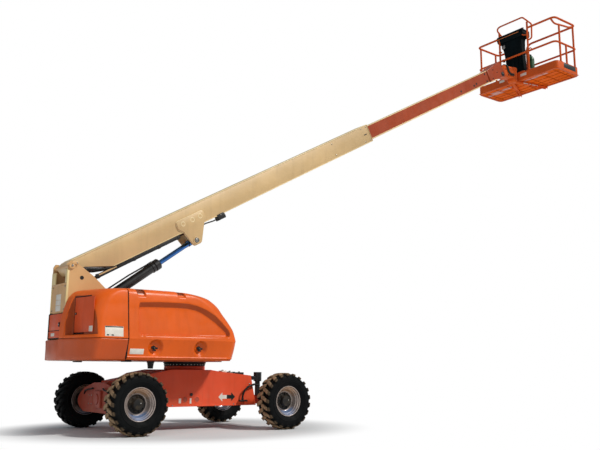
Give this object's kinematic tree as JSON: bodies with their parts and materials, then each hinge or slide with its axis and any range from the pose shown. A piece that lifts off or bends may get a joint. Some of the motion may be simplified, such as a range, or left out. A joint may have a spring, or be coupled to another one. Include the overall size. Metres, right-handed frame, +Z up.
{
  "type": "telescopic boom lift",
  "caption": "Self-propelled four-wheel boom lift with a slewing turntable, a telescoping boom raised by one cylinder and a levelled rotating work platform.",
  "frame": {"origin": "on the ground under the turntable's swing axis, midway between the axles", "axes": "+X along the boom and towards the steered wheels, +Y to the machine's left, +Z up"},
  "size_m": [11.5379, 2.26, 8.9467],
  "materials": {
    "orange_gloss": "gloss",
    "orange_hood": "gloss",
    "red_orange": "semi-gloss",
    "tan": "semi-gloss",
    "tyre_rubber": "matte, dusty",
    "rim_paint": "satin",
    "black_paint": "satin",
    "chrome_rod": "mirror",
    "cast_black": "rough",
    "black_plastic": "matte",
    "hose_rubber": "matte"
  },
  "bodies": {
    "chassis": {"chassis_sides": "red_orange", "chassis_spine": "red_orange", "rear_axle": "red_orange", "rear_hubs": "cast_black", "front_axle": "red_orange", "lockout_cylinders": "black_paint", "lower_bearing": "red_orange"},
    "knuckle_left": {"knuckle_left": "cast_black"},
    "knuckle_right": {"knuckle_right": "cast_black"},
    "tie_rod": {"tie_rod": "cast_black"},
    "steer_barrel": {"steer_barrel": "black_paint"},
    "steer_rod": {"steer_rod": "chrome_rod"},
    "turntable": {"upper_bearing": "black_paint", "mast_cheeks": "tan", "mast_ties": "tan", "deck": "black_paint", "counterweight": "orange_gloss", "tail_centre": "orange_gloss", "rear_cover_left": "orange_hood", "rear_cover_right": "orange_hood", "engine": "cast_black", "hydraulic_tank": "black_paint", "exhaust_stub": "black_paint"},
    "controls_door": {"controls_door": "orange_hood"},
    "hood_left": {"hood_left": "orange_hood"},
    "hood_right": {"hood_right": "orange_hood"},
    "base_boom": {"base_boom": "tan", "lift_lugs": "tan", "hose_tray": "hose_rubber"},
    "fly_boom": {"fly_boom": "red_orange", "boom_nose": "red_orange"},
    "lift_barrel": {"lift_barrel": "black_paint"},
    "lift_rod": {"lift_rod": "chrome_rod"},
    "platform_support": {"platform_support": "red_orange"},
    "platform": {"platform_arms": "red_orange", "platform_floor": "red_orange", "platform_posts": "red_orange", "platform_rails": "red_orange", "control_console": "black_plastic"},
    "platform_gate": {"platform_gate": "red_orange"},
    "wheel_front_left": {"tyre_front_left": "tyre_rubber", "rim_front_left": "rim_paint"},
    "wheel_front_right": {"tyre_front_right": "tyre_rubber", "rim_front_right": "rim_paint"},
    "wheel_rear_left": {"tyre_rear_left": "tyre_rubber", "rim_rear_left": "rim_paint"},
    "wheel_rear_right": {"tyre_rear_right": "tyre_rubber", "rim_rear_right": "rim_paint"}
  },
  "joints": [
    {"name": "wheel_front_left_spin", "type": "hinge", "parent": "knuckle_left", "child": "wheel_front_left", "pos_m": [1.21, 0.94, 0.4165], "axis": [0, 1, 0], "continuous": true},
    {"name": "wheel_front_right_spin", "type": "hinge", "parent": "knuckle_right", "child": "wheel_front_right", "pos_m": [1.21, -0.94, 0.4165], "axis": [0, 1, 0], "continuous": true},
    {"name": "wheel_rear_left_spin", "type": "hinge", "parent": "chassis", "child": "wheel_rear_left", "pos_m": [-1.21, 0.94, 0.4165], "axis": [0, 1, 0], "continuous": true},
    {"name": "wheel_rear_right_spin", "type": "hinge", "parent": "chassis", "child": "wheel_rear_right", "pos_m": [-1.21, -0.94, 0.4165], "axis": [0, 1, 0], "continuous": true},
    {"name": "steer_left", "type": "hinge", "parent": "chassis", "child": "knuckle_left", "pos_m": [1.21, 0.7, 0.4165], "axis": [0, 0, 1], "range_deg": [-35, 35]},
    {"name": "steer_right", "type": "hinge", "parent": "chassis", "child": "knuckle_right", "pos_m": [1.21, -0.7, 0.4165], "axis": [0, 0, 1], "range_deg": [-35.5, 35.5]},
    {"name": "tie_rod_pivot", "type": "hinge", "parent": "knuckle_left", "child": "tie_rod", "pos_m": [1.38, 0.7, 0.44], "axis": [0, 0, 1], "range_deg": [-35.5, 35.5]},
    {"name": "steer_barrel_pivot", "type": "hinge", "parent": "chassis", "child": "steer_barrel", "pos_m": [1.34, 0.1, 0.365], "axis": [0, 0, 1], "range_deg": [-2, 2]},
    {"name": "steer_rod_slide", "type": "slide", "parent": "steer_barrel", "child": "steer_rod", "axis": [0, -1, 0], "range_m": [-0.085, 0.085]},
    {"name": "slew", "type": "hinge", "parent": "chassis", "child": "turntable", "pos_m": [0, 0, 0.925], "axis": [0, 0, 1], "continuous": true},
    {"name": "hood_left_hinge", "type": "hinge", "parent": "turntable", "child": "hood_left", "pos_m": [-0.6, 0.37, 1.94], "axis": [1, 0, 0], "range_deg": [0, 65]},
    {"name": "hood_right_hinge", "type": "hinge", "parent": "turntable", "child": "hood_right", "pos_m": [-0.6, -0.37, 1.94], "axis": [-1, 0, 0], "range_deg": [0, 65]},
    {"name": "controls_door_hinge", "type": "hinge", "parent": "turntable", "child": "controls_door", "pos_m": [-1.8802, -0.925, 1.6], "axis": [0, 0, 1], "range_deg": [0, 100]},
    {"name": "boom_lift", "type": "hinge", "parent": "turntable", "child": "base_boom", "pos_m": [-1.97, 0, 2.275], "axis": [0, -1, 0], "range_deg": [-39, 40]},
    {"name": "boom_extend", "type": "slide", "parent": "base_boom", "child": "fly_boom", "axis": [0.8721, 0, 0.4894], "range_m": [-3.75, 0]},
    {"name": "lift_barrel_pivot", "type": "hinge", "parent": "turntable", "child": "lift_barrel", "pos_m": [-1.816, 0, 1.526], "axis": [0, -1, 0], "range_deg": [-34, 35]},
    {"name": "lift_rod_slide", "type": "slide", "parent": "lift_barrel", "child": "lift_rod", "axis": [0.8116, 0, 0.5842], "range_m": [-0.47, 0.48]},
    {"name": "platform_level", "type": "hinge", "parent": "fly_boom", "child": "platform_support", "pos_m": [7.93551, 0, 7.61584], "axis": [0, -1, 0], "range_deg": [-40.5, 39.5]},
    {"name": "platform_rotate", "type": "hinge", "parent": "platform_support", "child": "platform", "pos_m": [8.43551, 0, 7.61584], "axis": [0, 0, 1], "range_deg": [-90, 90]},
    {"name": "gate_hinge", "type": "hinge", "parent": "platform", "child": "platform_gate", "pos_m": [9.41851, 0.31, 8.21584], "axis": [0, 0, 1], "range_deg": [0, 65]}
  ],
  "couplings": [
    {"joint": "steer_right", "follows": "steer_left", "ratio": 1},
    {"joint": "tie_rod_pivot", "follows": "steer_left", "ratio": -1},
    {"joint": "steer_barrel_pivot", "follows": "steer_left", "ratio": -0.0458},
    {"joint": "steer_rod_slide", "follows": "steer_left", "m_per_rad": -0.13},
    {"joint": "lift_barrel_pivot", "follows": "boom_lift", "ratio": 0.865},
    {"joint": "lift_rod_slide", "follows": "boom_lift", "m_per_rad": 0.675},
    {"joint": "platform_level", "follows": "boom_lift", "ratio": -1}
  ]
}
